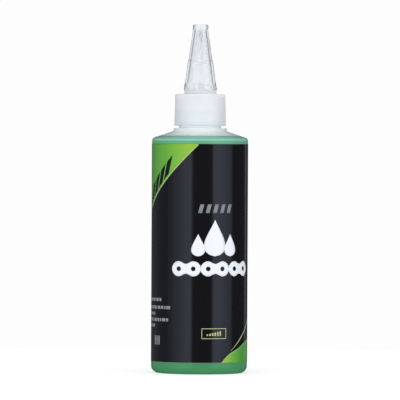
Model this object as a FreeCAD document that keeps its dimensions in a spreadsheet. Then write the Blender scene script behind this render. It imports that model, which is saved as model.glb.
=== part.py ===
import FreeCAD, Part
import os
import Sketcher

# Chain lube bottle: a blow-moulded 120 ml bottle with a wrap-around film label, a screw closure
# with a dropper spout, and a clear push-on cover whose pin plugs the spout.
# Millimetres and degrees, +Z up, origin at the middle of the face that the bottle stands on.

# Driving dimensions
SIZES = {
    # Bottle
    "body_diameter": 40.9,
    "body_height": 100.05,
    "wall": 0.8,
    "floor_thickness": 1.1,
    "shoulder_angle": 18.3,
    "shoulder_radius": 1.4,
    "heel_radius": 3.0,
    "pushup_diameter": 30.0,
    "pushup_height": 1.8,
    "weld_length": 22.0,
    "weld_width": 0.9,
    "weld_depth": 0.3,
    "bead_diameter": 22.6,
    "bead_thickness": 1.25,
    "bead_radius": 0.45,
    "bead_root_radius": 0.4,
    # Neck finish
    "finish_height": 12.8,
    "neck_band_diameter": 17.9,
    "neck_band_height": 2.3,
    "neck_root_diameter": 15.6,
    "mouth_diameter": 12.4,
    "throat_radius": 1.2,
    "land_radius": 0.3,
    # Label
    "glue_thickness": 0.05,
    "film_thickness": 0.08,
    "label_bottom_margin": 4.9,
    "label_top_margin": 2.45,
    "label_lap": 5.0,
    # Fill
    "fill_rise": 1.0,
    "fill_gap": 0.05,
    # Washer
    "washer_thickness": 0.6,
    "washer_clearance": 0.25,
    # Screw closure with dropper spout
    "closure_diameter": 22.0,
    "closure_draft": 1.4,
    "closure_gap": 1.05,
    "closure_clearance": 0.25,
    "closure_wall": 1.2,
    "closure_edge_radius": 0.5,
    "closure_hem_radius": 0.25,
    "roof_thickness": 1.15,
    "collar_diameter": 13.8,
    "collar_height": 1.8,
    "seat_diameter": 11.8,
    "seat_height": 2.3,
    "seat_radius": 0.4,
    "spout_base_diameter": 9.4,
    "spout_step_diameter": 7.7,
    "spout_step_height": 8.7,
    "spout_step_radius": 0.3,
    "spout_root_radius": 0.5,
    "nozzle_base_diameter": 5.7,
    "nozzle_root_radius": 0.4,
    "spout_tip_diameter": 3.0,
    "spout_length": 22.7,
    "spout_wall": 1.1,
    "orifice_diameter": 1.5,
    "orifice_rim_radius": 0.3,
    # Clear cover
    "cover_rim_diameter": 14.2,
    "cover_flare_diameter": 12.7,
    "cover_flare_height": 4.3,
    "cover_step_diameter": 10.7,
    "cover_step_height": 12.1,
    "cover_step_depth": 0.3,
    "cover_step_rise": 0.6,
    "cover_tip_diameter": 6.6,
    "cover_tip_length": 3.0,
    "cover_tip_radius": 0.8,
    "cover_rim_radius": 0.2,
    "cover_top_thickness": 2.3,
    "cover_wall": 1.1,
    "cover_clearance": 0.1,
    "cover_headroom": 0.4,
    "tip_headroom": 0.6,
    "pin_length": 4.9,
    "pin_clearance": 0.2,
    "pin_end_radius": 0.25,
}

# Two lengths that differ by less than this are the same place on a shape
SAME_PLACE = 1e-4

doc = FreeCAD.newDocument("ChainLubeBottle")
sheet = doc.addObject("Spreadsheet::Sheet", "Sizes")
for row, (alias, size) in enumerate(SIZES.items(), start=1):
    sheet.set(f"A{row}", alias)
    sheet.set(f"B{row}", str(size))
    sheet.setAlias(f"B{row}", alias)
doc.recompute()


def value(expression):
    """Number that an expression on the sheet has now."""
    return float(sheet.evalExpression(expression))


def half(alias):
    """Expression for the radius that belongs to a diameter of the sheet."""
    return f"(Sizes.{alias} / 2)"


def new_body(label, height=None):
    """Empty body for one sub-part, raised to a height if one is given."""
    body = doc.addObject("PartDesign::Body", label)
    body.Label = label
    if height:
        body.setExpression("Placement.Base.z", height)
    return body


def origin_plane(body, role):
    """Plane of the body's own origin."""
    return next(plane for plane in body.Origin.OriginFeatures if plane.Role == role)


def new_sketch(body, name, role):
    """Empty sketch on one of the body's origin planes."""
    sketch = body.newObject("Sketcher::SketchObject", name)
    sketch.AttachmentSupport = [(origin_plane(body, role), "")]
    sketch.MapMode = "FlatFace"
    return sketch


def bind(sketch, kind, expression, *points):
    """Dimension of a sketch that follows an expression."""
    number = sketch.addConstraint(Sketcher.Constraint(kind, *points, value(expression)))
    sketch.setExpression(f"Constraints[{number}]", expression)


def pin_corner(sketch, run, end, across, up):
    """Tie one end of a run to its distances from the sketch's two axes."""
    for kind, axis, expression in (("DistanceX", -2, across), ("DistanceY", -1, up)):
        if expression == "0":
            sketch.addConstraint(Sketcher.Constraint("PointOnObject", run, end, axis))
        else:
            bind(sketch, kind, expression, -1, 1, run, end)


def dome(first, last):
    """Arc between two points, centred on the upright axis."""
    rim, crown = sorted((first, last), key=lambda point: point.x, reverse=True)
    rise = crown.y - rim.y
    radius = (rim.x ** 2 + rise ** 2) / (2 * rise)
    centre = FreeCAD.Vector(0, crown.y - radius, 0)
    middle = (rim + crown) * 0.5 - centre
    return Part.Arc(rim, centre + middle.normalize() * radius, crown)


def section(body, name, corners, role="XZ_Plane", domed_runs=()):
    """Closed outline through corners (across, up), given as expressions; domed runs are arcs."""
    sketch = new_sketch(body, name, role)
    points = [FreeCAD.Vector(value(across), value(up), 0) for across, up in corners]
    starts = {}
    ends = {}
    for run, (first, last) in enumerate(zip(points, points[1:] + points[:1])):
        curve = dome(first, last) if run in domed_runs else Part.LineSegment(first, last)
        sketch.addGeometry(curve, False)
        forward = sketch.Geometry[run].StartPoint.isEqual(first, SAME_PLACE)
        starts[run], ends[run] = (1, 2) if forward else (2, 1)
    for run, (across, up) in enumerate(corners):
        before = (run - 1) % len(corners)
        sketch.addConstraint(Sketcher.Constraint("Coincident", before, ends[before], run, starts[run]))
        pin_corner(sketch, run, starts[run], across, up)
    for run in domed_runs:
        sketch.addConstraint(Sketcher.Constraint("PointOnObject", run, 3, -2))
    return sketch


def revolve(body, name, profile, kind="Revolution", angle="360"):
    """Revolution or Groove of a profile about the upright axis."""
    feature = body.newObject(f"PartDesign::{kind}", name)
    feature.Profile = profile
    feature.ReferenceAxis = (profile, ["V_Axis"])
    feature.setExpression("Angle", angle)
    doc.recompute()
    return feature


def hollow(body, name, profile):
    """Groove all round that has to take material away."""
    before = body.Tip.Shape.Volume
    groove = revolve(body, name, profile, kind="Groove")
    if groove.Shape.Volume >= before:
        raise RuntimeError(f"{name} cuts nothing")


def round_rings(body, name, radius, places):
    """Fillet of the circular edges that lie at the given (radius, height) places."""
    base = body.Tip
    wanted = [(value(across), value(up)) for across, up in places]
    names = []
    for number, edge in enumerate(base.Shape.Edges, start=1):
        if edge.Degenerated or not isinstance(edge.Curve, Part.Circle):
            continue
        ring = (edge.Curve.Radius, edge.Curve.Center.z)
        if any(abs(ring[0] - r) < SAME_PLACE and abs(ring[1] - z) < SAME_PLACE for r, z in wanted):
            names.append(f"Edge{number}")
    if len(names) != len(wanted):
        raise RuntimeError(f"{name} found {len(names)} of {len(wanted)} edges")
    fillet = body.newObject("PartDesign::Fillet", name)
    fillet.Base = (base, names)
    fillet.setExpression("Radius", radius)
    doc.recompute()


# Places that several sub-parts share
BODY_RADIUS = half("body_diameter")
INNER_RADIUS = f"({BODY_RADIUS} - Sizes.wall)"
BEAD_BOTTOM = f"(Sizes.body_height + ({BODY_RADIUS} - {half('bead_diameter')}) * tan(Sizes.shoulder_angle))"
BEAD_TOP = f"({BEAD_BOTTOM} + Sizes.bead_thickness)"
MOUTH = f"({BEAD_TOP} + Sizes.finish_height)"
CROWN = "(Sizes.pushup_height + Sizes.floor_thickness)"
FILL_LEVEL = "(Sizes.body_height + Sizes.fill_rise)"
CLOSURE_BORE = f"({half('neck_band_diameter')} + Sizes.closure_clearance)"

# Heights on the closure, from its hem
CLOSURE_HEM = f"({BEAD_TOP} + Sizes.closure_gap)"
ROOF_UNDERSIDE = "(Sizes.finish_height - Sizes.closure_gap + Sizes.washer_thickness)"
ROOF_TOP = f"({ROOF_UNDERSIDE} + Sizes.roof_thickness)"
COLLAR_TOP = f"({ROOF_TOP} + Sizes.collar_height)"
SEAT_TOP = f"({COLLAR_TOP} + Sizes.seat_height)"
SPOUT_STEP = f"({SEAT_TOP} + Sizes.spout_step_height)"
SPOUT_TIP = f"({SEAT_TOP} + Sizes.spout_length)"

# Heights on the cover, from its rim, which stands on the closure's collar
COVER_CEILING = "(Sizes.seat_height + Sizes.spout_length + Sizes.tip_headroom)"
COVER_TOP = f"({COVER_CEILING} + Sizes.cover_top_thickness)"


def inner_shoulder(radius):
    """Height of the shoulder's inner face at a radius: the outer cone, one wall further in."""
    rise = f"({BODY_RADIUS} - {radius}) * tan(Sizes.shoulder_angle)"
    return f"(Sizes.body_height + {rise} - Sizes.wall / cos(Sizes.shoulder_angle))"


def make_bottle():
    """Blow-moulded bottle: outer form, cavity, weld line across the base, rounded corners."""
    body = new_body("bottle")
    neck_band = half("neck_band_diameter")
    neck_root = half("neck_root_diameter")
    bead = half("bead_diameter")
    mouth = half("mouth_diameter")
    pushup = half("pushup_diameter")
    neck_band_top = f"({BEAD_TOP} + Sizes.neck_band_height)"
    form = section(body, "bottle_form_outline", [
        ("0", "Sizes.pushup_height"), (pushup, "0"), (BODY_RADIUS, "0"), (BODY_RADIUS, "Sizes.body_height"),
        (bead, BEAD_BOTTOM), (bead, BEAD_TOP), (neck_band, BEAD_TOP), (neck_band, neck_band_top),
        (neck_root, neck_band_top), (neck_root, MOUTH), ("0", MOUTH),
    ], domed_runs=[0])
    revolve(body, "bottle_form", form)
    cavity = section(body, "bottle_cavity_outline", [
        ("0", CROWN), (pushup, "Sizes.floor_thickness"), (INNER_RADIUS, "Sizes.floor_thickness"),
        (INNER_RADIUS, inner_shoulder(INNER_RADIUS)), (mouth, inner_shoulder(mouth)), (mouth, MOUTH),
        ("0", MOUTH),
    ], domed_runs=[0])
    hollow(body, "bottle_cavity", cavity)
    round_rings(body, "heel", "Sizes.heel_radius", [(BODY_RADIUS, "0")])
    round_rings(body, "shoulder", "Sizes.shoulder_radius", [(BODY_RADIUS, "Sizes.body_height")])
    round_rings(body, "heel_inside", "Sizes.heel_radius - Sizes.wall",
                [(INNER_RADIUS, "Sizes.floor_thickness")])
    round_rings(body, "shoulder_inside", "Sizes.shoulder_radius - Sizes.wall",
                [(INNER_RADIUS, inner_shoulder(INNER_RADIUS))])
    round_rings(body, "throat", "Sizes.throat_radius", [(mouth, inner_shoulder(mouth))])
    round_rings(body, "bead_root", "Sizes.bead_root_radius", [(bead, BEAD_BOTTOM)])
    round_rings(body, "bead_edge", "Sizes.bead_radius", [(bead, BEAD_TOP)])
    round_rings(body, "land", "Sizes.land_radius", [(neck_root, MOUTH), (mouth, MOUTH)])
    weld_line(body)
    return body


def weld_line(body):
    """Ridge that the mould's two halves leave across the push-up; it dies out in the dome."""
    low = "(Sizes.pushup_height - Sizes.weld_depth)"
    high = "(Sizes.pushup_height + Sizes.floor_thickness / 2)"
    reach = half("weld_length")
    ridge = section(body, "weld_line_outline", [
        (f"-{reach}", low), (reach, low), (reach, high), (f"-{reach}", high),
    ])
    pad = body.newObject("PartDesign::Pad", "weld_line")
    pad.Profile = ridge
    pad.Midplane = True
    pad.setExpression("Length", "Sizes.weld_width")
    doc.recompute()


def make_label():
    """Film wrapped round the body, its end lapped over its start at the back."""
    body = new_body("label", "Sizes.label_bottom_margin")
    height = "(Sizes.body_height - Sizes.label_top_margin - Sizes.label_bottom_margin)"
    back = f"({BODY_RADIUS} + Sizes.glue_thickness)"
    face = f"({back} + Sizes.film_thickness)"
    lap_face = f"({face} + Sizes.film_thickness)"
    wrap = section(body, "label_outline", [(back, "0"), (face, "0"), (face, height), (back, height)])
    revolve(body, "label_wrap", wrap)
    lap = section(body, "label_lap_outline", [(face, "0"), (lap_face, "0"), (lap_face, height), (face, height)],
                  role="YZ_Plane")
    revolve(body, "label_lap", lap, angle=f"360 * Sizes.label_lap / (2 * pi * {face})")
    return body


def make_lubricant():
    """Liquid that fills the cavity up to a level in the shoulder."""
    body = new_body("lubricant")
    radius = f"({INNER_RADIUS} - Sizes.fill_gap)"
    pushup = half("pushup_diameter")
    floor = "(Sizes.floor_thickness + Sizes.fill_gap)"
    corner = f"({inner_shoulder(radius)} - Sizes.fill_gap / cos(Sizes.shoulder_angle))"
    surface = f"({radius} - ({FILL_LEVEL} - {corner}) / tan(Sizes.shoulder_angle))"
    fill = section(body, "lubricant_outline", [
        ("0", f"({CROWN} + Sizes.fill_gap)"), (pushup, floor), (radius, floor), (radius, corner),
        (surface, FILL_LEVEL), ("0", FILL_LEVEL),
    ], domed_runs=[0])
    revolve(body, "lubricant_fill", fill)
    inset = "Sizes.wall - Sizes.fill_gap"
    round_rings(body, "lubricant_heel", f"Sizes.heel_radius - {inset}", [(radius, floor)])
    round_rings(body, "lubricant_shoulder", f"Sizes.shoulder_radius - {inset}", [(radius, corner)])
    return body


def make_sealing_washer():
    """Flat foam ring between the neck's land and the closure's roof."""
    body = new_body("sealing_washer", MOUTH)
    sketch = new_sketch(body, "washer_outline", "XY_Plane")
    radii = (f"{CLOSURE_BORE} - Sizes.washer_clearance", half("mouth_diameter"))
    for circle, radius in enumerate(radii):
        sketch.addGeometry(Part.Circle(FreeCAD.Vector(), FreeCAD.Vector(0, 0, 1), value(radius)), False)
        sketch.addConstraint(Sketcher.Constraint("Coincident", circle, 3, -1, 1))
        bind(sketch, "Radius", radius, circle)
    pad = body.newObject("PartDesign::Pad", "washer")
    pad.Profile = sketch
    pad.setExpression("Length", "Sizes.washer_thickness")
    doc.recompute()
    return body


def make_dropper_closure():
    """Screw closure and stepped dropper spout in one moulding, cored out to an even wall."""
    body = new_body("dropper_closure", CLOSURE_HEM)
    hem = half("closure_diameter")
    brow = f"({hem} - {ROOF_TOP} * tan(Sizes.closure_draft))"
    collar = half("collar_diameter")
    seat = half("seat_diameter")
    spout_base = half("spout_base_diameter")
    spout_step = half("spout_step_diameter")
    nozzle_base = half("nozzle_base_diameter")
    spout_tip = half("spout_tip_diameter")
    form = section(body, "closure_form_outline", [
        ("0", "0"), (hem, "0"), (brow, ROOF_TOP), (collar, ROOF_TOP), (collar, COLLAR_TOP),
        (seat, COLLAR_TOP), (seat, SEAT_TOP), (spout_base, SEAT_TOP), (spout_step, SPOUT_STEP),
        (nozzle_base, SPOUT_STEP), (spout_tip, SPOUT_TIP), ("0", SPOUT_TIP),
    ])
    revolve(body, "closure_form", form)
    core_collar = f"({collar} - Sizes.closure_wall)"
    core_collar_top = f"({COLLAR_TOP} - Sizes.closure_wall)"
    core_seat = f"({seat} - Sizes.closure_wall)"
    core_seat_top = f"({SEAT_TOP} - Sizes.closure_wall)"
    core_step_top = f"({SPOUT_STEP} - Sizes.spout_wall)"
    core = section(body, "closure_core_outline", [
        ("0", "0"), (CLOSURE_BORE, "0"), (CLOSURE_BORE, ROOF_UNDERSIDE), (core_collar, ROOF_UNDERSIDE),
        (core_collar, core_collar_top), (core_seat, core_collar_top), (core_seat, core_seat_top),
        (f"({spout_base} - Sizes.spout_wall)", core_seat_top),
        (f"({spout_step} - Sizes.spout_wall)", core_step_top),
        (f"({nozzle_base} - Sizes.spout_wall)", core_step_top),
        (half("orifice_diameter"), SPOUT_TIP), ("0", SPOUT_TIP),
    ])
    hollow(body, "closure_core", core)
    round_rings(body, "closure_edge", "Sizes.closure_edge_radius", [(brow, ROOF_TOP)])
    round_rings(body, "closure_hem", "Sizes.closure_hem_radius", [(hem, "0"), (CLOSURE_BORE, "0")])
    round_rings(body, "seat_edge", "Sizes.seat_radius", [(seat, SEAT_TOP)])
    round_rings(body, "spout_root", "Sizes.spout_root_radius", [(spout_base, SEAT_TOP)])
    round_rings(body, "spout_step", "Sizes.spout_step_radius", [(spout_step, SPOUT_STEP)])
    round_rings(body, "nozzle_root", "Sizes.nozzle_root_radius", [(nozzle_base, SPOUT_STEP)])
    round_rings(body, "orifice_rim", "Sizes.orifice_rim_radius", [(spout_tip, SPOUT_TIP)])
    return body


def make_tip_cover():
    """Clear cover: stepped cone, socket that grips the closure's seat, pin that plugs the spout."""
    body = new_body("tip_cover", f"({CLOSURE_HEM} + {COLLAR_TOP})")
    rim = half("cover_rim_diameter")
    flare = half("cover_flare_diameter")
    step = half("cover_step_diameter")
    tip = half("cover_tip_diameter")
    above_step = f"({step} - Sizes.cover_step_depth)"
    step_top = "(Sizes.cover_step_height + Sizes.cover_step_rise)"
    tip_foot = f"({COVER_TOP} - Sizes.cover_tip_length)"
    form = section(body, "cover_form_outline", [
        ("0", "0"), (rim, "0"), (flare, "Sizes.cover_flare_height"), (step, "Sizes.cover_step_height"),
        (above_step, step_top), (tip, tip_foot), (tip, COVER_TOP), ("0", COVER_TOP),
    ])
    revolve(body, "cover_form", form)
    socket = f"({half('seat_diameter')} + Sizes.cover_clearance)"
    socket_top = "(Sizes.seat_height + Sizes.cover_headroom)"
    cavity = section(body, "cover_cavity_outline", [
        ("0", "0"), (socket, "0"), (socket, socket_top), (f"({flare} - Sizes.cover_wall)", socket_top),
        (f"({tip} - Sizes.cover_wall)", COVER_CEILING), ("0", COVER_CEILING),
    ])
    hollow(body, "cover_cavity", cavity)
    pin = f"({half('orifice_diameter')} - Sizes.pin_clearance)"
    pin_end = f"({COVER_CEILING} - Sizes.pin_length)"
    plug = section(body, "cover_pin_outline", [
        ("0", pin_end), (pin, pin_end), (pin, COVER_CEILING), ("0", COVER_CEILING),
    ])
    revolve(body, "cover_pin", plug)
    round_rings(body, "cover_tip", "Sizes.cover_tip_radius", [(tip, COVER_TOP)])
    round_rings(body, "cover_rim", "Sizes.cover_rim_radius", [(rim, "0"), (socket, "0")])
    round_rings(body, "pin_end", "Sizes.pin_end_radius", [(pin, pin_end)])
    return body


parts = [
    make_bottle(),
    make_label(),
    make_lubricant(),
    make_sealing_washer(),
    make_dropper_closure(),
    make_tip_cover(),
]
doc.recompute()

# Nothing is written unless every object is sound
for item in doc.Objects:
    if "Invalid" in item.State or "Error" in item.State:
        raise RuntimeError(f"{item.Label} did not recompute: {item.State}")
for part in parts:
    if part.Shape.isNull() or not part.Shape.isValid() or len(part.Shape.Solids) != 1:
        raise RuntimeError(f"{part.Label} is not one valid solid")

os.makedirs("parts", exist_ok=True)
for part in parts:
    part.Shape.exportStep(f"parts/{part.Label}.step")
    box = part.Shape.BoundBox
    print(f"{part.Label}: {part.Shape.Volume / 1000:.3f} ml, z {box.ZMin:.2f} to {box.ZMax:.2f}")
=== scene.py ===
# %% [markdown]
# # A dropper bottle of chain oil
#
# This lesson dresses a CAD model of a small squeeze bottle: a hazy bottle filled with green oil, a
# printed film label, a screw closure with a spout, and a clear cover over the spout's tip. The CAD
# solids already have the true shapes, so most of them stay and only get a finish. The label, its
# inks and the screw threads are new surfaces, worked out with numpy.

# %% Load the frame
import math

import bpy
import numpy as np
from mathutils import Matrix, Vector


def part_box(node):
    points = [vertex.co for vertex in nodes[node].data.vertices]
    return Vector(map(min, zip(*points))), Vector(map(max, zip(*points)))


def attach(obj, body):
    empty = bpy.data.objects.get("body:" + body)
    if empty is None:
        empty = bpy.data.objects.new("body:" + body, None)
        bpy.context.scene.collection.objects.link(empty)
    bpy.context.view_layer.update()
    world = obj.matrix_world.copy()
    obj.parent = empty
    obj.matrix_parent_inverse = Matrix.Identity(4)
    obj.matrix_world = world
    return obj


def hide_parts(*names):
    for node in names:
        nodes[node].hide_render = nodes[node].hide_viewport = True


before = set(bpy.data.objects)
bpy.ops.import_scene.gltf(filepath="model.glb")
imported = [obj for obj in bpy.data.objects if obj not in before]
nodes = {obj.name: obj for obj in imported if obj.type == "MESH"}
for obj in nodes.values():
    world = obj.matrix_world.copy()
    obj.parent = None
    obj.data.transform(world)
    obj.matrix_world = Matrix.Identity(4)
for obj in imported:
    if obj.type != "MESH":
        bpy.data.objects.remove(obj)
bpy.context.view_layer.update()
scene = bpy.context.scene
MM = 0.001
print("CAD nodes:", ", ".join(sorted(nodes)))

# %% [markdown]
# ## Helpers for materials
#
# Colours are picked as the sRGB hex values that any paint program shows, while the renderer works
# with linear light, so one function converts them. Another adds a shader node, sets its properties
# and fills or links its inputs. Two more start a material, empty or with the all-round shader. The
# same could be wired by hand in the shader editor, but code can be read, and run again.


# %% Colour, node and material helpers
def linear(hex_colour):
    """sRGB hex to linear RGBA: c / 12.92 in the toe, ((c + 0.055) / 1.055) ** 2.4 above it."""
    srgb = np.array([int(hex_colour[i:i + 2], 16) for i in (1, 3, 5)]) / 255
    rgb = np.where(srgb <= 0.04045, srgb / 12.92, ((srgb + 0.055) / 1.055) ** 2.4)
    return (*rgb.tolist(), 1.0)


def add_node(tree, kind, inputs=None, **settings):
    """Adds one node; an input that is given a socket is linked, any other is set."""
    node = tree.nodes.new(kind)
    for name, setting in settings.items():
        setattr(node, name, setting)
    for name, given in (inputs or {}).items():
        if isinstance(given, bpy.types.NodeSocket):
            tree.links.new(given, node.inputs[name])
        else:
            node.inputs[name].default_value = given
    return node


def new_material(name):
    """A material with no nodes yet; gives the material and its node tree."""
    material = bpy.data.materials.new(name)
    material.use_nodes = True
    material.node_tree.nodes.clear()
    return material, material.node_tree


def new_finish(name, sockets):
    """A material with one Principled shader; gives the material, its node tree and the shader."""
    material, tree = new_material(name)
    shader = add_node(tree, "ShaderNodeBsdfPrincipled", sockets)
    add_node(tree, "ShaderNodeOutputMaterial", {"Surface": shader.outputs["BSDF"]})
    return material, tree, shader


print(f"half-way grey #808080 is {linear('#808080')[0]:.3f} in linear light")

# %% [markdown]
# ## The camera
#
# A product photographer stands well back with a long lens, so that the bottle's sides stay parallel.
# A camera without perspective would be simpler, but it would draw the label's two edges alike. The
# top edge looks straight and the bottom edge sags a little, so the lens is level with the top edge.
# The picture is 400 pixels wide, and the pixel size at the bottle fixes the focal length. The plain
# view transform shows each colour as it was picked.

# %% Camera
FRAME_PIXELS = 400
PIXEL_MM = 0.4269
SENSOR_MM = 36.0
CAMERA_DISTANCE = 2.1
EYE_HEIGHT_MM = 97.6
AIM_MM = (0.1, 0.0, 73.7)
ROLL_DEGREES = 0.28

camera_data = bpy.data.cameras.new("camera")
camera_data.sensor_width = SENSOR_MM
camera_data.lens = SENSOR_MM * CAMERA_DISTANCE / (FRAME_PIXELS * PIXEL_MM * MM)
camera = bpy.data.objects.new("camera", camera_data)
scene.collection.objects.link(camera)
scene.camera = camera
aim = Vector(AIM_MM) * MM
camera.location = (aim.x, -CAMERA_DISTANCE, EYE_HEIGHT_MM * MM)
look = (aim - camera.location).to_track_quat("-Z", "Y").to_matrix()
camera.rotation_euler = (look @ Matrix.Rotation(math.radians(ROLL_DEGREES), 3, "Z")).to_euler()
scene.view_settings.view_transform = "Standard"
print(f"lens {camera_data.lens:.0f} mm at {CAMERA_DISTANCE} m")

# %% [markdown]
# ## The floor
#
# The bottle stands on a light table. A white plane under lamps would do, but it leaves the bottle's
# foot in shadow, so the floor is a pale disc with a glow of its own. The room beyond its rim is as
# white. Mirror reflections don't see the disc, because it would turn the black film grey.

# %% Floor
FLOOR_RADIUS = 0.25
FLOOR_POINTS = 96
FLOOR_GREY = linear("#BCBCBC")
FLOOR_GLOW = 0.6
ROOM_WHITE = linear("#FDFDFD")

floor_finish = new_finish("light_table_acrylic", {
    "Base Color": FLOOR_GREY, "Roughness": 0.9, "Specular IOR Level": 0.0,
    "Emission Color": ROOM_WHITE, "Emission Strength": FLOOR_GLOW})[0]
turn = np.linspace(0, 2 * np.pi, FLOOR_POINTS, endpoint=False)
floor_ring = np.stack([np.cos(turn), np.sin(turn), 0 * turn], axis=-1) * FLOOR_RADIUS
floor_mesh = bpy.data.meshes.new("floor")
floor_mesh.from_pydata(floor_ring.tolist(), [], [list(range(FLOOR_POINTS))])
floor_mesh.materials.append(floor_finish)
floor = bpy.data.objects.new("floor", floor_mesh)
scene.collection.objects.link(floor)
floor.visible_glossy = False
print(f"floor: disc of {2 * FLOOR_RADIUS} m")

# %% [markdown]
# ## The room
#
# A photographer sets up white walls, dark cards and a bright backdrop, and hides each from the
# surfaces that shouldn't show it. Modelled walls would be mirrored everywhere, so here the world's
# shader gives each kind of ray a room of its own. Clear plastic sees a bright backdrop between two
# dark cards, which draw its edges as dark lines. Light that comes through it from a matt surface
# finds a brighter room still.

# %% Room that clear plastic sees
BACKDROP_DEGREES = (18, 52)
FRONT_DEGREES = (72, 95)
ROOM_CARDS = 0.3
ROOM_FRONT = 0.85
ROOM_BACKLIGHT = 1.65

world = bpy.data.worlds.new("studio")
scene.world = world
world.use_nodes = True
# Only a ray that bounces into the room carries its kind, so the room isn't sampled as a lamp.
world.cycles.sampling_method = "NONE"
sky = world.node_tree
sky.nodes.clear()
path = add_node(sky, "ShaderNodeLightPath")
direction = add_node(sky, "ShaderNodeSeparateXYZ", {
    0: add_node(sky, "ShaderNodeTexCoord").outputs["Generated"]})
bearing = add_node(sky, "ShaderNodeMath", {
    0: direction.outputs["X"], 1: direction.outputs["Y"]}, operation="ARCTAN2")
aside = add_node(sky, "ShaderNodeMath", {0: bearing.outputs[0]}, operation="ABSOLUTE")
backdrop = add_node(sky, "ShaderNodeMapRange", {
    "Value": aside.outputs[0], "To Min": 1.0, "To Max": ROOM_CARDS,
    "From Min": math.radians(BACKDROP_DEGREES[0]), "From Max": math.radians(BACKDROP_DEGREES[1])},
    interpolation_type="SMOOTHSTEP")
front_room = add_node(sky, "ShaderNodeMapRange", {
    "Value": aside.outputs[0], "To Min": ROOM_CARDS, "To Max": ROOM_FRONT,
    "From Min": math.radians(FRONT_DEGREES[0]), "From Max": math.radians(FRONT_DEGREES[1])},
    interpolation_type="SMOOTHSTEP")
cards = add_node(sky, "ShaderNodeMath", {
    0: backdrop.outputs[0], 1: front_room.outputs[0]}, operation="MAXIMUM")
after_matt = add_node(sky, "ShaderNodeMath", {
    0: path.outputs["Diffuse Depth"], 1: 1.0}, operation="MINIMUM")
through = add_node(sky, "ShaderNodeMix", {
    0: after_matt.outputs[0], 2: cards.outputs[0], 3: ROOM_BACKLIGHT})
print(f"dark cards: {BACKDROP_DEGREES[1]} to {FRONT_DEGREES[0]} degrees from the backdrop's middle")

# %% [markdown]
# Matt surfaces see white walls, dimmer at the sides and overhead, which shade the bottle's round form.
# Mirror reflections see a dark room, so that only the light panels show in the black film. The camera
# itself sees plain white.

# %% Room that matt, glossy and camera rays see
ROOM_MATT = 0.99
ROOM_SIDES = 0.3
ROOM_TOP = 0.6
ROOM_MIRRORED = 0.05
# How far a ray points sideways or up, from 0 to 1, where the dimming starts and where it is complete.
SIDES_DIM = (0.45, 0.95)
TOP_DIM = (0.3, 0.8)

sideways = add_node(sky, "ShaderNodeMath", {0: direction.outputs["X"]}, operation="ABSOLUTE")
walls = add_node(sky, "ShaderNodeMapRange", {
    "Value": sideways.outputs[0], "From Min": SIDES_DIM[0], "From Max": SIDES_DIM[1],
    "To Min": ROOM_MATT, "To Max": ROOM_SIDES}, interpolation_type="SMOOTHSTEP")
ceiling = add_node(sky, "ShaderNodeMapRange", {
    "Value": direction.outputs["Z"], "From Min": TOP_DIM[0], "From Max": TOP_DIM[1],
    "To Min": ROOM_MATT, "To Max": ROOM_TOP}, interpolation_type="SMOOTHSTEP")
matt = add_node(sky, "ShaderNodeMath", {
    0: walls.outputs[0], 1: ceiling.outputs[0]}, operation="MINIMUM")
matt_or_mirrored = add_node(sky, "ShaderNodeMix", {
    0: path.outputs["Is Glossy Ray"], 2: matt.outputs[0], 3: ROOM_MIRRORED})
or_through = add_node(sky, "ShaderNodeMix", {
    0: path.outputs["Is Transmission Ray"], 2: matt_or_mirrored.outputs[0], 3: through.outputs[0]})
strength = add_node(sky, "ShaderNodeMix", {
    0: path.outputs["Is Camera Ray"], 2: or_through.outputs[0], 3: 1.0})
room = add_node(sky, "ShaderNodeBackground", {"Color": ROOM_WHITE, "Strength": strength.outputs[0]})
add_node(sky, "ShaderNodeOutputWorld", {"Surface": room.outputs[0]})
print("room:", len(sky.nodes), "shader nodes")

# %% [markdown]
# ## Light panels
#
# Glossy black film shows whatever stands around it. On a cylinder, a light at twice the angle of a
# spot on the label is mirrored in that spot, so rows of soft panels on the left and on the right give
# two grey strips with a dark band between them. One large panel with a picture of a gradient would do
# too, but a row of plain panels is easier to set, one brightness at a time. Two white panels above
# light the shoulder, the closure and the cover.

# %% Panel helpers
PANEL_TINT = (0.84, 0.95, 1.2)
PANEL_DISTANCE = 0.5
PANEL_BOTTOM = -0.15
PANEL_TOP = 0.6


def area_panel(name, width, height, luminance, tint):
    """A rectangular light that the camera doesn't see; its power is luminance times pi times area."""
    light = bpy.data.lights.new(name, "AREA")
    light.shape = "RECTANGLE"
    light.size = width
    light.size_y = height
    light.energy = luminance * math.pi * width * height
    light.color = tint
    panel = bpy.data.objects.new(name, light)
    scene.collection.objects.link(panel)
    panel.visible_camera = False
    return panel


def upright_panel(name, azimuths, luminance):
    """A panel between two azimuths, in degrees from the front and positive to the right."""
    middle = math.radians(sum(azimuths) / 2)
    width = 2 * PANEL_DISTANCE * math.tan(math.radians(azimuths[1] - azimuths[0]) / 2)
    panel = area_panel(name, width, PANEL_TOP - PANEL_BOTTOM, luminance, PANEL_TINT)
    panel.location = (PANEL_DISTANCE * math.sin(middle), -PANEL_DISTANCE * math.cos(middle),
                      (PANEL_TOP + PANEL_BOTTOM) / 2)
    panel.rotation_euler = (math.radians(90), 0, middle)


print(f"upright panels: {PANEL_TOP - PANEL_BOTTOM:.2f} m high, {PANEL_DISTANCE} m from the axis")

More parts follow.
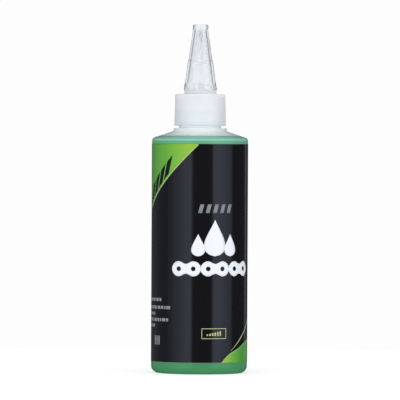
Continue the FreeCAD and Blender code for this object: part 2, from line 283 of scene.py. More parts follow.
# %% Panels at the sides and above
LEFT_EDGES = (-160, -135, -112, -80, -66, -55, -45, -36, -27, -18)
LEFT_GLOW = (0.06, 0.1, 0.08, 0.22, 0.4, 0.54, 0.68, 0.8, 0.88)
RIGHT_EDGES = ((31, 52), (52, 62), (62, 72), (72, 82), (138, 144))
RIGHT_GLOW = (0.92, 0.78, 0.64, 0.5, 0.44)
PANEL_WHITE = (1.0, 1.0, 1.0)
OVERHEAD = {"width": 0.9534, "height": 1.0, "luminance": 0.4, "tint": PANEL_WHITE}
OVERHEAD_PLACE = (0.0, 0.2, 0.75)
FRONT_TOP = {"width": 0.5317, "height": 0.2, "luminance": 1.35, "tint": PANEL_WHITE}
FRONT_TOP_PLACE = (0.0, -0.36, 0.6)
FRONT_TOP_TILT = 36

for k, glow in enumerate(LEFT_GLOW):
    upright_panel(f"left_panel_{k}", LEFT_EDGES[k:k + 2], glow)
for k, glow in enumerate(RIGHT_GLOW):
    upright_panel(f"right_panel_{k}", RIGHT_EDGES[k], glow)
overhead = area_panel("overhead_panel", **OVERHEAD)
overhead.location = OVERHEAD_PLACE
front_top = area_panel("front_top_panel", **FRONT_TOP)
front_top.location = FRONT_TOP_PLACE
front_top.rotation_euler = (math.radians(FRONT_TOP_TILT), 0.0, 0.0)

# %% [markdown]
# ## Natural polyethylene
#
# The bottle is blown from polyethylene with no pigment. Its wall lets most light through and scatters
# the rest, so it looks milky. Scattering inside a thin wall is slow and grainy to render, so each face
# of the wall is a mix of milky white and of what is seen through it. The share of milk follows the
# height: least at the foot, little in the thin body, more at the shoulder's corner, where the thicker
# plastic is milkier and the extra milk also paints a highlight, some again just under the oil's level
# as a painted reflection, and most in the empty shoulder and the neck, where both faces of the wall
# meet air. Light that only passes on its way to another surface loses less, and keeps the inside bright.

# %% Share of milk by height
OIL_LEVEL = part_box("lubricant")[1].z
FOOT_MILK = 0.06
BODY_MILK = 0.11
# The corner's share is partly the thicker plastic's milk, partly a painted highlight.
CORNER_MILK_AND_HIGHLIGHT = 0.36
# The band's share, just under the oil's level, is a painted reflection.
BAND_MILK_AND_REFLECTION = 0.21
NECK_MILK = 0.88
# Heights in mm from the oil's level: where the milk starts to change, its steps, and where it ends.
MILK_LOW = -4.0
MILK_STEPS = ((-3.75, BODY_MILK), (-2.25, BODY_MILK), (-1.7, CORNER_MILK_AND_HIGHLIGHT), (-1.2, BAND_MILK_AND_REFLECTION),
              (-0.1, BAND_MILK_AND_REFLECTION))
MILK_HIGH = 1.0


def grey(share):
    """A share from 0 to 1 as the grey that a colour ramp takes."""
    return (share, share, share, 1.0)


bottle_finish, tree = new_material("natural_polyethylene")
place = add_node(tree, "ShaderNodeTexCoord").outputs["Object"]
height = add_node(tree, "ShaderNodeSeparateXYZ", {0: place}).outputs["Z"]
up_shoulder = add_node(tree, "ShaderNodeMapRange", {
    "Value": height, "From Min": OIL_LEVEL + MILK_LOW * MM, "From Max": OIL_LEVEL + MILK_HIGH * MM})
milk_and_painted_light_share = add_node(tree, "ShaderNodeValToRGB", {0: up_shoulder.outputs[0]})
milk_stops = milk_and_painted_light_share.color_ramp.elements
milk_stops[0].color = grey(FOOT_MILK)
milk_stops[1].color = grey(NECK_MILK)
for above_level, share in MILK_STEPS:
    milk_stops.new((above_level - MILK_LOW) / (MILK_HIGH - MILK_LOW)).color = grey(share)
print("milk by height:", len(milk_stops), "steps round the oil's level at", round(OIL_LEVEL / MM, 1), "mm")

# %% Milk in the bottle's wall
MILK_WHITE = linear("#FBFDFD")
MILK_THROUGH = 0.1
WALL_GLOW = 0.75

seen = add_node(tree, "ShaderNodeLightPath").outputs["Is Camera Ray"]
most = add_node(tree, "ShaderNodeMapRange", {"Value": seen, "To Min": 1 - WALL_GLOW, "To Max": 1.0})
scattered = add_node(tree, "ShaderNodeMath", {
    0: milk_and_painted_light_share.outputs[0], 1: most.outputs[0]}, operation="MINIMUM")
milk = add_node(tree, "ShaderNodeMixShader", {
    0: MILK_THROUGH,
    1: add_node(tree, "ShaderNodeBsdfDiffuse", {"Color": MILK_WHITE}).outputs[0],
    2: add_node(tree, "ShaderNodeBsdfTranslucent", {"Color": MILK_WHITE}).outputs[0]})
print(f"milk for passing light: at most {1 - WALL_GLOW}")

# %% [markdown]
# The oil has nearly the plastic's refractive index. Where it wets the wall the inner face disappears,
# and the oil's colour seems to reach right out to the surface. Two clear solids in perfect contact
# would show that, but the fill stands a hair off the wall, so below the oil's level the clear share
# of the wall shows the oil's colour itself. Its green is painted deeper at the foot as painted shade,
# and bluish just under the level, partly for the thin wedge of oil under the shoulder's slope and
# partly as a painted reflection.

# %% Oil's colour in the bottle's wall
CLEAR_WALL = linear("#FBFEFE")
# A deeper green at the foot: painted shade.
SHADED_FOOT_GREEN = linear("#168544")
OIL_GREEN = linear("#1CA052")
# A bluish green just under the level: partly the thin wedge of oil, partly a painted reflection.
WEDGE_AND_REFLECTION_GREEN = linear("#26A086")
# The wedge starts at this share of the oil's height.
WEDGE_START = 0.965

up_oil = add_node(tree, "ShaderNodeMapRange", {"Value": height, "From Max": OIL_LEVEL})
oil_colour_and_painted_shade = add_node(tree, "ShaderNodeValToRGB", {0: up_oil.outputs[0]})
oil_stops = oil_colour_and_painted_shade.color_ramp.elements
oil_stops[0].color = SHADED_FOOT_GREEN
oil_stops[1].color = WEDGE_AND_REFLECTION_GREEN
oil_stops.new(WEDGE_START).color = OIL_GREEN
wetted = add_node(tree, "ShaderNodeMath", {0: height, 1: OIL_LEVEL}, operation="LESS_THAN")
seen_through = add_node(tree, "ShaderNodeMixShader", {
    0: wetted.outputs[0],
    1: add_node(tree, "ShaderNodeBsdfTransparent", {"Color": CLEAR_WALL}).outputs[0],
    2: add_node(tree, "ShaderNodeBsdfDiffuse", {"Color": oil_colour_and_painted_shade.outputs[0]}).outputs[0]})
wall = add_node(tree, "ShaderNodeMixShader", {
    0: scattered.outputs[0], 1: seen_through.outputs[0], 2: milk.outputs[0]})
print(f"thin wedge of oil: the top {(1 - WEDGE_START) * OIL_LEVEL / MM:.1f} mm")

# %% [markdown]
# A blown surface has a soft gloss with a faint orange peel, which blurs the reflections a little. The
# peel is only a hundredth of a millimetre deep, too fine for a mesh, so a noise of about 3 mm goes
# into the normal of the gloss. The gloss follows Fresnel's law, and lies on the outer face only.

# %% Bottle gloss
POLYETHYLENE_IOR = 1.51
PEEL_MM = 2.857
PEEL_DEPTH_MM = 0.01

outer = add_node(tree, "ShaderNodeMath", {
    0: 1.0, 1: add_node(tree, "ShaderNodeNewGeometry").outputs["Backfacing"]}, operation="SUBTRACT")
fresnel = add_node(tree, "ShaderNodeFresnel", {"IOR": POLYETHYLENE_IOR})
gloss_share = add_node(tree, "ShaderNodeMath", {
    0: fresnel.outputs[0], 1: outer.outputs[0]}, operation="MULTIPLY")
peel = add_node(tree, "ShaderNodeTexNoise", {"Vector": place, "Scale": 1 / (PEEL_MM * MM), "Detail": 2.0})
peel_bump = add_node(tree, "ShaderNodeBump", {
    "Height": peel.outputs[0], "Distance": PEEL_DEPTH_MM * MM, "Strength": 0.6})
gloss = add_node(tree, "ShaderNodeBsdfAnisotropic", {"Roughness": 0.22, "Normal": peel_bump.outputs[0]})
surface = add_node(tree, "ShaderNodeMixShader", {
    0: gloss_share.outputs[0], 1: wall.outputs[0], 2: gloss.outputs[0]})
add_node(tree, "ShaderNodeOutputMaterial", {"Surface": surface.outputs[0]})
nodes["bottle"].material_slots[0].material = bottle_finish
print("bottle finish:", bottle_finish.name, "with", len(tree.nodes), "nodes")

# %% [markdown]
# ## Green oil
#
# The fill is a clear oil with a strong green dye. Behind the hazy wall nothing can be seen through
# it, only its colour, so a glass with a green tint would be wasted on it. It is treated as a body that
# scatters light below its surface, with wide, faint clouds in the dye.

# %% Oil finish
OIL_DEPTH_MM = 1.5
CLOUD_MM = 25.0

oil_finish, tree, shader = new_finish("green_oil", {
    "Roughness": 0.3, "Specular IOR Level": 0.0, "Subsurface Weight": 1.0,
    "Subsurface Radius": (0.2, 1.0, 0.45), "Subsurface Scale": OIL_DEPTH_MM * MM})
place = add_node(tree, "ShaderNodeTexCoord").outputs["Object"]
cloud = add_node(tree, "ShaderNodeTexNoise", {"Vector": place, "Scale": 1 / (CLOUD_MM * MM)})
dye = add_node(tree, "ShaderNodeValToRGB", {0: cloud.outputs[0]})
dye.color_ramp.elements[0].color = linear("#1CAE59")
dye.color_ramp.elements[1].color = linear("#22B861")
tree.links.new(dye.outputs[0], shader.inputs["Base Color"])
nodes["lubricant"].material_slots[0].material = oil_finish
print("oil finish:", oil_finish.name)

# %% [markdown]
# ## The closure's satin moulding
#
# The closure is the same natural plastic in a thicker moulding, satin from the mould's grain, so its
# highlights are broad and soft. Light creeps along inside it, and a part goes straight through: a
# little for the eye, more for light on its way to what the closure covers, and most at the skirt's
# hem, so that the neck below isn't in the shade. A real scattering volume would do all this slowly, so
# the shader's own subsurface light is mixed with a clear one. A helper gives the mould's grain.


# %% Grain of a mould
def grained(tree, shader, grain_mm, depth_mm, rough_low, rough_high):
    """Gives a shader the fine grain of a mould: noise of a real size in the normal and the roughness."""
    place = add_node(tree, "ShaderNodeTexCoord").outputs["Object"]
    grain = add_node(tree, "ShaderNodeTexNoise", {
        "Vector": place, "Scale": 1 / (grain_mm * MM), "Detail": 2.0})
    bump = add_node(tree, "ShaderNodeBump", {"Height": grain.outputs[0], "Distance": depth_mm * MM})
    rough = add_node(tree, "ShaderNodeMapRange", {
        "Value": grain.outputs[0], "To Min": rough_low, "To Max": rough_high})
    tree.links.new(bump.outputs[0], shader.inputs["Normal"])
    tree.links.new(rough.outputs[0], shader.inputs["Roughness"])


print("one pixel of the picture is", PIXEL_MM, "mm; a finer grain doesn't show")

# %% Closure finish
CREEP_MM = 5.0
CLOSURE_CLEAR = 0.3
CLOSURE_GLOW = 0.75
HEM_GLOW = 0.98
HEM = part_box("dropper_closure")[0].z
SKIRT_MM = 12.0

closure_finish, tree, shader = new_finish("satin_polyethylene", {
    "Base Color": linear("#EFF0F0"), "IOR": POLYETHYLENE_IOR, "Subsurface Weight": 1.0,
    "Subsurface Radius": (1.0, 1.0, 1.0), "Subsurface Scale": CREEP_MM * MM})
# The grain of such a mould is finer than a pixel, so it is drawn two pixels wide to show.
grained(tree, shader, grain_mm=0.8, depth_mm=0.006, rough_low=0.33, rough_high=0.43)
place = add_node(tree, "ShaderNodeTexCoord").outputs["Object"]
height = add_node(tree, "ShaderNodeSeparateXYZ", {0: place}).outputs["Z"]
skirt_glow = add_node(tree, "ShaderNodeMapRange", {
    "Value": height, "From Min": HEM, "From Max": HEM + SKIRT_MM * MM,
    "To Min": HEM_GLOW, "To Max": CLOSURE_GLOW})
passed = add_node(tree, "ShaderNodeMapRange", {
    "Value": add_node(tree, "ShaderNodeLightPath").outputs["Is Camera Ray"],
    "To Min": skirt_glow.outputs[0], "To Max": CLOSURE_CLEAR})
see_through = add_node(tree, "ShaderNodeMixShader", {
    0: passed.outputs[0], 1: shader.outputs[0], 2: add_node(tree, "ShaderNodeBsdfTransparent").outputs[0]})
tree.links.new(see_through.outputs[0], tree.nodes["Material Output"].inputs["Surface"])
nodes["dropper_closure"].material_slots[0].material = closure_finish
print("closure finish:", closure_finish.name)

# %% [markdown]
# ## Foam washer
#
# The washer is cut from white closed-cell foam, matt and pitted by its cells. The pits could be
# sculpted, but the grain helper gives them at their real size.

# %% Washer finish
foam_finish, tree, shader = new_finish("closed_cell_foam", {"Base Color": linear("#F2F2EE")})
grained(tree, shader, grain_mm=0.35, depth_mm=0.05, rough_low=0.75, rough_high=0.95)
nodes["sealing_washer"].material_slots[0].material = foam_finish
print("washer finish:", foam_finish.name)

# %% [markdown]
# ## Clear cover
#
# The cover is moulded in clear polystyrene from a polished mould: a plain glass shader, with slow waves
# that bend what is seen through it as a thin moulding does. Its colour is clearest at the wide rim and
# greyer towards the narrow tip, a tint that follows the height.

# %% Cover finish
RIM_CLEAR = linear("#FDFEFF")
TIP_GREY = linear("#F1F3F6")
# Shares of the cover's height, and the tint there.
COVER_TINTS = ((0.3, linear("#F8FAFC")), (0.55, linear("#F2F4F7")))

cover_finish, tree, shader = new_finish("clear_polystyrene", {"IOR": 1.5, "Transmission Weight": 1.0})
grained(tree, shader, grain_mm=4.0, depth_mm=0.05, rough_low=0.02, rough_high=0.06)
place = add_node(tree, "ShaderNodeTexCoord").outputs["Object"]
height = add_node(tree, "ShaderNodeSeparateXYZ", {0: place}).outputs["Z"]
cover_low, cover_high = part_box("tip_cover")
up_cover = add_node(tree, "ShaderNodeMapRange", {
    "Value": height, "From Min": cover_low.z, "From Max": cover_high.z})
tint = add_node(tree, "ShaderNodeValToRGB", {0: up_cover.outputs[0]})
tint_stops = tint.color_ramp.elements
tint_stops[0].color = RIM_CLEAR
tint_stops[1].color = TIP_GREY
for share, colour in COVER_TINTS:
    tint_stops.new(share).color = colour
tree.links.new(tint.outputs[0], shader.inputs["Base Color"])
nodes["tip_cover"].material_slots[0].material = cover_finish
print("finishes:", [slot.material.name for node in nodes.values() for slot in node.material_slots
                    if slot.material])

# %% [markdown]
# ## A mesh from a grid of points
#
# Each new surface is a function of two parameters, worked out for a whole grid at once. One helper
# numbers the quads of such a grid, and closes it round where the shape does. Another makes the mesh
# and fastens it to a body of the CAD model. Blender's own primitives and modifiers could give some of
# these shapes, but a formula says exactly what is made.

# %% Mesh helpers
SHARP_DEGREES = 40


def grid_quads(rows, columns, wrap=False):
    """Corner indices of the quads of a grid whose point (i, j) has index i * columns + j."""
    i = np.arange(rows - 1)[:, None]
    j = np.arange(columns if wrap else columns - 1)[None, :]
    here = i * columns
    above = (i + 1) * columns
    right = (j + 1) % columns
    return np.stack([here + j, here + right, above + right, above + j], axis=-1).reshape(-1, 4)


def new_piece(name, points, faces, finish, body, slot):
    """A mesh object with smooth faces that rides on a CAD body."""
    mesh = bpy.data.meshes.new(name)
    mesh.from_pydata(np.asarray(points).reshape(-1, 3).tolist(), [], np.asarray(faces).tolist())
    mesh.materials.append(finish)
    mesh.shade_smooth()
    mesh.set_sharp_from_angle(angle=math.radians(SHARP_DEGREES))
    piece = bpy.data.objects.new(name, mesh)
    scene.collection.objects.link(piece)
    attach(piece, body)
    print(f"{name}: {len(mesh.vertices)} points, {len(mesh.polygons)} faces")
    return piece


print("quads of a grid of 2 by 3 points:", grid_quads(2, 3).tolist())

# %% [markdown]
# ## Screw threads
#
# The closure screws on to the neck with one rounded thread, about eight turns to the inch. The Screw
# modifier could wind it, but not fade its ends. So a ridge is a four-cornered section carried up a
# right-hand helix, and its height rises smoothly from nothing at both ends, as a moulded thread's
# does. The closure's ridge runs half a pitch below the neck's, so the two slide past each other when
# the closure turns and lifts. Sizes are in millimetres.

# %% Thread ridge
PITCH = 3.18
THREAD_TURNS = 1.5
STEPS_PER_TURN = 96
FADE_TURNS = 0.12
LEAST_RISE = 0.03
ROOT_WIDTH = 1.5
CREST_WIDTH = 0.7


def thread_ridge(root, crest, foot):
    """Section corners on a helix, one pitch a turn; the crest rises as a smooth step at both ends."""
    run = np.linspace(0, THREAD_TURNS, math.ceil(THREAD_TURNS * STEPS_PER_TURN) + 1)[:, None]
    rise = np.clip(np.minimum(run, THREAD_TURNS - run) / FADE_TURNS, LEAST_RISE, 1)
    rise = rise * rise * (3 - 2 * rise)
    top = root + (crest - root) * rise
    radius = np.concatenate([root + 0 * top, top, top, root + 0 * top], axis=1)
    up = foot + PITCH * run + np.array([[-ROOT_WIDTH, -CREST_WIDTH, CREST_WIDTH, ROOT_WIDTH]]) / 2
    turn = 2 * np.pi * run
    points = np.stack([radius * np.cos(turn), radius * np.sin(turn), up], axis=-1)
    last = 4 * (len(run) - 1)
    caps = np.array([[0, 1, 2, 3], [last + 3, last + 2, last + 1, last]])
    faces = np.concatenate([grid_quads(len(run), 4, wrap=True)[:, ::-1], caps])
    # A ridge inside the closure points at the axis, so its faces turn the other way.
    return points * MM, faces if crest > root else faces[:, ::-1]


print(f"thread: {THREAD_TURNS} turns climb {THREAD_TURNS * PITCH:.2f} mm")

# %% Threads of neck and closure
NECK_ROOT, NECK_CREST = 7.75, 8.75
CLOSURE_ROOT, CLOSURE_CREST = 9.25, 8.05
NECK_THREAD_FOOT = 109.9
CLOSURE_THREAD_FOOT = NECK_THREAD_FOOT - PITCH / 2

new_piece("neck_thread", *thread_ridge(NECK_ROOT, NECK_CREST, NECK_THREAD_FOOT), bottle_finish,
          "bottle", "bottle_plastic")
new_piece("closure_thread", *thread_ridge(CLOSURE_ROOT, CLOSURE_CREST, CLOSURE_THREAD_FOOT),
          closure_finish, "closure", "closure_plastic")

# %% [markdown]
# ## Varnished film and inks
#
# The label is a black film, and film and inks lie under one clear varnish. It mirrors the room almost
# sharply: soft waves a few millimetres long bend the reflections, and a fine mottle in the gloss
# softens them. A clear coat over a matt colour would look much the same, and one glossy shader is
# simpler to export.

# %% Varnished finish
WAVE_MM = 8.333
WAVE_DEPTH_MM = 0.012
# A varnish's mottle is finer than a pixel, so it is drawn one and a half pixels wide to show.
MOTTLE_MM = 0.6667
GLOSS_ROUGHNESS = (0.1, 0.2)


def varnished(name, hex_colour):
    """A glossy film or ink with waves in its normal and a mottle in its roughness."""
    finish, tree, shader = new_finish(name, {"Base Color": linear(hex_colour), "IOR": 1.5})
    place = add_node(tree, "ShaderNodeTexCoord").outputs["Object"]
    waves = add_node(tree, "ShaderNodeTexNoise", {
        "Vector": place, "Scale": 1 / (WAVE_MM * MM), "Detail": 1.0})
    bump = add_node(tree, "ShaderNodeBump", {
        "Height": waves.outputs[0], "Distance": WAVE_DEPTH_MM * MM, "Strength": 0.5})
    tree.links.new(bump.outputs[0], shader.inputs["Normal"])
    mottle = add_node(tree, "ShaderNodeTexNoise", {"Vector": place, "Scale": 1 / (MOTTLE_MM * MM)})
    rough = add_node(tree, "ShaderNodeMapRange", {
        "Value": mottle.outputs[0], "To Min": GLOSS_ROUGHNESS[0], "To Max": GLOSS_ROUGHNESS[1]})
    tree.links.new(rough.outputs[0], shader.inputs["Roughness"])
    return finish, tree, shader


film_finish = varnished("varnished_black_film", "#121114")[0]
print("film finish:", film_finish.name)

# %% [markdown]
# ## The label film
#
# A strip of film is wrapped once round the bottle, and its end laps over its start at the back. A
# tube would look the same from the front, but it has no lap. So the strip is a spiral: its radius is
# constant, and just before the lap it climbs by one thickness to pass over the start. It lies a hair
# inside the solid's outer face, so that the inks on it don't make the part wider than its CAD model.

# %% Label film
label_low, label_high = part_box("label")
INK_ROOM_MM = 0.035
LABEL_RADIUS = label_high.x / MM - INK_ROOM_MM
LABEL_BOTTOM = label_low.z / MM
LABEL_TOP = label_high.z / MM
SEAM = math.pi * LABEL_RADIUS
FILM_MM = 0.08
LAP_MM = 4.9
LAP_RAMP_MM = 1.5


def film_strip(columns=480):
    """Four-cornered section carried round the bottle; a smooth step lifts it by its thickness."""
    along = np.linspace(-SEAM, SEAM + LAP_MM, columns)
    climb = np.clip((along - SEAM + LAP_RAMP_MM) / LAP_RAMP_MM, 0, 1)
    outer = LABEL_RADIUS + FILM_MM * climb * climb * (3 - 2 * climb)
    radius = np.stack([outer - FILM_MM, outer, outer, outer - FILM_MM], axis=-1)
    height = np.array([LABEL_BOTTOM, LABEL_BOTTOM, LABEL_TOP, LABEL_TOP])[None, :]
    angle = (along / LABEL_RADIUS)[:, None]
    points = np.stack([radius * np.sin(angle), -radius * np.cos(angle), height + 0 * radius], axis=-1)
    last = 4 * (columns - 1)
    caps = np.array([[0, 1, 2, 3], [last + 3, last + 2, last + 1, last]])
    return points * MM, np.concatenate([grid_quads(columns, 4, wrap=True)[:, ::-1], caps])


label = new_piece("label_film", *film_strip(), film_finish, "bottle", "label_film")
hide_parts("label")

# %% [markdown]
# ## Printing on the label
#
# Each ink is a thin layer of its own, as it is on the press. A picture laid over the film would be the
# usual way, but a layer keeps its edges sharp however near one looks. A shape is designed on the
# unrolled label, u millimetres round from the front and v millimetres up, as the field between two
# curves: straight lines join their points one by one. The field is then wrapped on to the film.
# Straight slanting edges turn into the bowed lines that a wrapped label shows.


# %% Fields on the unrolled label
def spread(start, end, step=0.6):
    """Evenly spaced values from start to end, about one step apart."""
    return np.linspace(start, end, max(2, math.ceil(abs(end - start) / step) + 1))


def ruled(first, second, steps=2):
    """Grid of (u, v) places on the straight lines between two curves, point by point."""
    t = np.linspace(0, 1, steps)[None, :, None]
    return np.asarray(first, float)[:, None, :] * (1 - t) + np.asarray(second, float)[:, None, :] * t


def between(u, low, high, steps=2):
    """Field over a row of u, from one height to another."""
    u, low, high = np.broadcast_arrays(u, low, high)
    return ruled(np.stack([u, low], axis=-1), np.stack([u, high], axis=-1), steps)


print("grid of a field 3 mm wide:", between(spread(0.0, 3.0), 0.0, 1.0).shape)

# %% Ink layers
# How far the outer face of a layer stands off the film, in mm, and how much of that is ink.
LOW_INK = 0.012
MIDDLE_INK = 0.016
TOP_INK = 0.02
INK_SHARE = 0.9


def ink_layer(name, fields, lift, finish):
    """Fields wrapped round the label at a radius just above it, joined to one closed thin layer."""
    points, faces, count = [], [], 0
    radius = LABEL_RADIUS + lift
    for field in fields:
        u, v = field[..., 0], field[..., 1]
        angle = u / LABEL_RADIUS
        sheet = np.stack([radius * np.sin(angle), -radius * np.cos(angle), v], axis=-1) * MM
        quads = grid_quads(*u.shape)
        across, up = field[-1, 0] - field[0, 0], field[0, -1] - field[0, 0]
        # Quads that run up and then to the right face inwards, so they are turned over.
        if across[0] * up[1] - across[1] * up[0] > 0:
            quads = quads[:, ::-1]
        points.append(sheet.reshape(-1, 3))
        faces.append(quads + count)
        count += u.size
    piece = new_piece(name, np.concatenate(points), np.concatenate(faces), finish, "bottle", "label_film")
    shell = piece.modifiers.new("ink thickness", "SOLIDIFY")
    shell.thickness = lift * MM * INK_SHARE
    shell.offset = -1.0
    return piece


print(f"thickest ink: {TOP_INK * INK_SHARE:.3f} mm")

# %% [markdown]
# ## Inks
#
# Most inks are one colour under the varnish. The green is graded: yellowish at the tips of its two
# shapes and deeper round the sides of the bottle. A press grades it with dots too fine to see, so the
# shader does it with a colour ramp, by the angle round the bottle's axis.

# %% Inks
CORNER_TIP = -0.7
CORNER_DEEP = -27.0
FIELD_TIP = 10.0
FIELD_DEEP = 21.0

white_ink = varnished("white_ink", "#EDEEF0")[0]
grey_ink = varnished("grey_ink", "#83878D")[0]
pale_ink = varnished("pale_green_ink", "#BCD48C")[0]
black_ink = varnished("black_ink", "#121114")[0]
green_ink, tree, shader = varnished("graded_green_ink", "#72AF43")
place = add_node(tree, "ShaderNodeSeparateXYZ", {
    0: add_node(tree, "ShaderNodeTexCoord").outputs["Object"]})
front = add_node(tree, "ShaderNodeMath", {0: place.outputs["Y"], 1: -1.0}, operation="MULTIPLY")
angle = add_node(tree, "ShaderNodeMath", {
    0: place.outputs["X"], 1: front.outputs[0]}, operation="ARCTAN2")
to_left = add_node(tree, "ShaderNodeMapRange", {
    "Value": angle.outputs[0],
    "From Min": CORNER_TIP / LABEL_RADIUS, "From Max": CORNER_DEEP / LABEL_RADIUS})
to_right = add_node(tree, "ShaderNodeMapRange", {
    "Value": angle.outputs[0],
    "From Min": FIELD_TIP / LABEL_RADIUS, "From Max": FIELD_DEEP / LABEL_RADIUS})
share = add_node(tree, "ShaderNodeMath", {
    0: to_left.outputs[0], 1: to_right.outputs[0]}, operation="MAXIMUM")
grade = add_node(tree, "ShaderNodeValToRGB", {0: share.outputs[0]})
grade.color_ramp.elements[0].color = linear("#93BB1F")
grade.color_ramp.elements[1].color = linear("#4E963E")
grade.color_ramp.elements.new(0.5).color = linear("#6DB03C")
tree.links.new(grade.outputs[0], shader.inputs["Base Color"])
print("inks:", [ink.name for ink in (white_ink, grey_ink, pale_ink, black_ink, green_ink)])

# %% [markdown]
# ## Green shapes
#
# A green corner hangs from the label's top edge, cut off at 45 degrees. A lower green field rises from
# the bottom edge on the right. Both turn back on the far side at a mirror line, so that the print is
# complete all the way round. The cut could be two straight lines, but a hyperbola has the same arms
# and rounds the turn by itself. The field's edge is bent point by point through listed places.

# %% Green shapes
CORNER_APEX = -SEAM / 2
VALLEY_MM = 3.5
SEAM_GAP_MM = 0.5
FIELD_APEX = 37.0
# Places on the field's upper edge: mm round from the front, and mm above the label's bottom edge.
FIELD_EDGE = ((FIELD_TIP, 0.05), (12.4, 2.42), (14.5, 3.82), (21.1, 6.58), (25.0, 8.3), (FIELD_APEX, 11.3))


def corner_cut(u, least=0.02):
    """Height of the cut: a hyperbola, with 45 degree arms and a rounded foot at the apex."""
    fall = np.hypot(CORNER_TIP - CORNER_APEX, VALLEY_MM) - np.hypot(u - CORNER_APEX, VALLEY_MM)
    return LABEL_TOP - np.maximum(fall, least)


corner_u = spread(CORNER_TIP, 2 * CORNER_APEX - CORNER_TIP + SEAM_GAP_MM)
cut = corner_cut(corner_u)
field_u = spread(FIELD_TIP, 2 * FIELD_APEX - FIELD_TIP)
field_rise = np.interp(FIELD_APEX - np.abs(field_u - FIELD_APEX), *zip(*FIELD_EDGE))
ink_layer("green_ink", [
    between(corner_u, cut, LABEL_TOP, steps=20),
    between(field_u, LABEL_BOTTOM, LABEL_BOTTOM + field_rise, steps=8),
], LOW_INK, green_ink)

# %% [markdown]
# Pale lines edge both green shapes, and a third one climbs away over the field, thin at its tip. They
# could be strokes of a pen along a curve, but a field between two heights keeps their ends upright.

# %% Pale lines
CORNER_LINE_MM = 0.45
LINE_DROP_MM = 0.1
FIELD_LINE_MM = 0.24
CHEVRON_TIP = 14.65
CHEVRON_FOOT_MM = 4.9
CHEVRON_SLOPE = 0.85
CHEVRON_TAPER_MM = 6.0
CHEVRON_HALF_MM = (0.05, 0.28)

chevron_u = spread(CHEVRON_TIP, 2 * FIELD_APEX - CHEVRON_TIP)
chevron_run = FIELD_APEX - CHEVRON_TIP - np.abs(chevron_u - FIELD_APEX)
chevron = LABEL_BOTTOM + CHEVRON_FOOT_MM + CHEVRON_SLOPE * chevron_run
chevron_half = np.interp(chevron_run, (0.0, CHEVRON_TAPER_MM), CHEVRON_HALF_MM)
ink_layer("pale_lines", [
    between(corner_u, np.minimum(cut, LABEL_TOP - LINE_DROP_MM) - CORNER_LINE_MM, cut),
    between(chevron_u, chevron - chevron_half, chevron + chevron_half),
    between(field_u, LABEL_BOTTOM + field_rise, LABEL_BOTTOM + field_rise + FIELD_LINE_MM),
], MIDDLE_INK, pale_ink)

# %% [markdown]
# Four black stripes stand on the cut and lean to the right. Each starts and ends parallel to the cut,
# so it is ruled from a stretch of the cut to the same stretch moved up. The far side has their mirror
# images.

# %% Black stripes
STRIPES = 4
STRIPE_START = -17.2
STRIPE_MM = 2.9
STRIPE_GAP_MM = 0.8
STRIPE_HEIGHT_MM = 8.0
STRIPE_SLANT = 0.25


def stripe(foot, steps=12):
    """Slanting stripe whose foot and top both run parallel to the corner's cut."""
    u = spread(foot, foot + STRIPE_MM)
    low = np.stack([u, corner_cut(u) + STRIPE_GAP_MM], axis=-1)
    return ruled(low, low + [STRIPE_SLANT * STRIPE_HEIGHT_MM, STRIPE_HEIGHT_MM], steps)


stripes = [stripe(STRIPE_START - (STRIPE_MM + STRIPE_GAP_MM) * k) for k in range(STRIPES)]
mirrored = [field * [-1, 1] + [2 * CORNER_APEX, 0] for field in stripes]
ink_layer("black_stripes", stripes + mirrored, TOP_INK, black_ink)

# %% [markdown]
# ## The front panel
#
# Plain pictures fill the front: five slanting bars, three drops of oil over a length of roller chain,
# and a box with a level gauge. Each could be drawn as a curve and filled, but a field has even quads
# that wrap round the bottle smoothly. A drop's half width follows a sine over its height, and narrows
# to a point at the top. A link plate is two discs joined by a waist, as a half height over its length.


# %% Front panel shapes
def drop(u, v, width, height, steps=32, least=0.05):
    """Drop with its foot at (u, v): half width sin(pi t^0.6), less a quarter towards the tip t = 1."""
    t = np.linspace(0, 1, steps)
    half = np.maximum(width / 2 * np.sin(np.pi * t ** 0.6) * (1 - 0.25 * t), least)
    up = v + height * t
    return ruled(np.stack([u - half, up], axis=-1), np.stack([u + half, up], axis=-1), steps=8)


def link_plate(u, v, pitch, radius, waist, steps=48, least=0.1):
    """Plate of a chain link: discs round its two pins, joined by a waist that swells as sine squared."""
    reach = pitch / 2 + radius
    s = -reach * np.cos(np.linspace(0, np.pi, steps))
    over = np.clip(np.abs(s) - pitch / 2, 0, radius)
    ends = np.sqrt(np.maximum(radius ** 2 - over ** 2, least ** 2))
    middle = waist + (radius - waist) * np.sin(np.pi * np.clip(np.abs(s) / pitch, 0, 0.5)) ** 2
    half = np.where(np.abs(s) < pitch / 2, middle, ends)
    return between(u + s, v - half, v + half, steps=6)


def disc(u, v, radius, steps=24, least=0.01):
    """Round dot as the field between its lower and upper halves: half height sqrt(r^2 - s^2)."""
    s = radius * np.cos(np.linspace(np.pi, 0, steps))
    half = np.sqrt(np.maximum(radius ** 2 - s ** 2, least ** 2))
    return between(u + s, v - half, v + half, steps=4)


def bar(u, v, width, height, slant=0.0):
    """Upright bar, or a slanting one whose top is shifted to the right."""
    low = np.array([[u, v], [u + slant, v + height]])
    return ruled(low, low + [width, 0.0], len(spread(0.0, width, step=0.5)))


print("grid of a drop:", drop(0.0, 0.0, 10.0, 15.0).shape)

# %% [markdown]
# The drops are white, and so are the plates of the chain's outer links, which touch. Its inner links
# are grey and lie a layer lower, so they show only in the notches between the white ones. Each joint
# has a black pin. The bars above are grey too, so they share the lower layer.

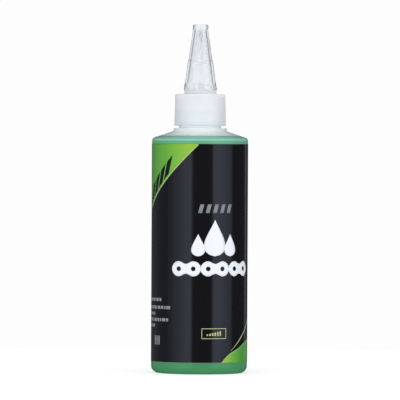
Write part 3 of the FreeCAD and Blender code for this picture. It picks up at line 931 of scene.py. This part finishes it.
# %% Drops, chain and bars
PANEL_CENTRE = 6.7
DROP_FOOT = 50.1
DROP_SPACING = 7.3
MIDDLE_DROP = (10.4, 15.4)
OUTER_DROP = (6.4, 9.4)
CHAIN_PINS = 6
CHAIN_PITCH = 6.4
CHAIN_CENTRE = 6.95
CHAIN_HEIGHT = 44.8
PIN_RADIUS = 1.0
OUTER_PLATE = {"radius": 3.2, "waist": 2.1}
INNER_PLATE = {"radius": 2.6, "waist": 1.5}
BARS = 5
BAR_START = -0.7
BAR_STEP = 3.2
BAR_FOOT = 68.4
BAR_SIZE = {"width": 1.7, "height": 3.7, "slant": 1.0}

pins = CHAIN_CENTRE + CHAIN_PITCH * (np.arange(CHAIN_PINS) - (CHAIN_PINS - 1) / 2)
middles = (pins[:-1] + pins[1:]) / 2
drops = [drop(PANEL_CENTRE, DROP_FOOT, *MIDDLE_DROP)]
drops += [drop(PANEL_CENTRE + side * DROP_SPACING, DROP_FOOT, *OUTER_DROP) for side in (-1, 1)]
outer_plates = [link_plate(u, CHAIN_HEIGHT, CHAIN_PITCH, **OUTER_PLATE) for u in middles[::2]]
inner_plates = [link_plate(u, CHAIN_HEIGHT, CHAIN_PITCH, **INNER_PLATE) for u in middles[1::2]]
bars = [bar(BAR_START + BAR_STEP * k, BAR_FOOT, **BAR_SIZE) for k in range(BARS)]
ink_layer("white_print", drops + outer_plates, MIDDLE_INK, white_ink)
ink_layer("grey_print", bars + inner_plates, LOW_INK, grey_ink)
ink_layer("chain_pins", [disc(u, CHAIN_HEIGHT, PIN_RADIUS) for u in pins], TOP_INK, black_ink)

# %% [markdown]
# The gauge is a thin frame of four bars round a row of six that grow to the right. It is one layer of
# a pale straw ink.

# %% Gauge box
BOX_LEFT, BOX_RIGHT = 1.0, 12.1
BOX_LOW, BOX_HIGH = 15.15, 19.6
BOX_LINE = 0.25
GAUGE_BARS = 6
GAUGE_START = 3.2
GAUGE_STEP = 1.15
GAUGE_FOOT = 16.4
GAUGE_WIDTH = 0.65
GAUGE_LEAST = 0.7
GAUGE_GROWTH = 0.26

straw_ink = varnished("pale_straw_ink", "#C9CC93")[0]
box_u = spread(BOX_LEFT, BOX_RIGHT)
post_foot = BOX_LOW + BOX_LINE
post_height = BOX_HIGH - BOX_LOW - 2 * BOX_LINE
box_frame = [
    between(box_u, BOX_LOW, BOX_LOW + BOX_LINE),
    between(box_u, BOX_HIGH - BOX_LINE, BOX_HIGH),
    bar(BOX_LEFT, post_foot, BOX_LINE, post_height),
    bar(BOX_RIGHT - BOX_LINE, post_foot, BOX_LINE, post_height),
]
gauge = [bar(GAUGE_START + GAUGE_STEP * k, GAUGE_FOOT, GAUGE_WIDTH, GAUGE_LEAST + GAUGE_GROWTH * k)
         for k in range(GAUGE_BARS)]
ink_layer("gauge_box", box_frame + gauge, LOW_INK, straw_ink)

# %% [markdown]
# ## The side panel
#
# The left side panel carries five rows of short dashes, over three taller strokes. A striped shader
# could draw them, but the edges of real fields stay sharp. The lengths of the dashes follow a sine, so
# that no two rows are alike and yet every run of the script gives the same ones.

# %% Side panel lines
ROW_ENDS = (-18.1, -12.8, -23.2, -13.9, -23.3)
ROW_FEET = (30.8, 27.5, 24.9, 22.3, 19.8)
PANEL_END = -46.0
DASHES = 16
DASH_MM = 1.5
DASH_SWING_MM = 0.7
DASH_PHASE = 2.3
ROW_PHASE = 1.9
DASH_GAP_MM = 0.45
DASH_HEIGHT_MM = 1.35
STROKES = 3
STROKE_START = -20.6
STROKE_STEP = 1.6
STROKE_FOOT = 12.3
STROKE_SIZE = {"width": 0.95, "height": 3.9}

side_lines = []
for row, (row_end, foot) in enumerate(zip(ROW_ENDS, ROW_FEET)):
    widths = DASH_MM + DASH_SWING_MM * np.sin(DASH_PHASE * np.arange(DASHES) + ROW_PHASE * row)
    lefts = row_end - np.cumsum(widths + DASH_GAP_MM)
    side_lines += [bar(u, foot, width, DASH_HEIGHT_MM) for u, width in zip(lefts, widths) if u > PANEL_END]
side_lines += [bar(STROKE_START - STROKE_STEP * k, STROKE_FOOT, **STROKE_SIZE) for k in range(STROKES)]
ink_layer("side_lines", side_lines, LOW_INK, varnished("pale_grey_ink", "#8E9094")[0])

# %% [markdown]
# ## The film's bare edge
#
# The film's bottom edge is left unprinted for a hair's breadth, and the oil behind it shows there as a
# thin pale green line. Cutting the black film back would do it too, but one more narrow layer leaves
# the strip whole.

# %% Unprinted edge
EDGE_MM = 0.12
edge_finish = varnished("clear_film_edge", "#76AE6A")[0]
rim = between(spread(-SEAM, SEAM), LABEL_BOTTOM, LABEL_BOTTOM + EDGE_MM)
ink_layer("unprinted_edge", [rim], TOP_INK, edge_finish)
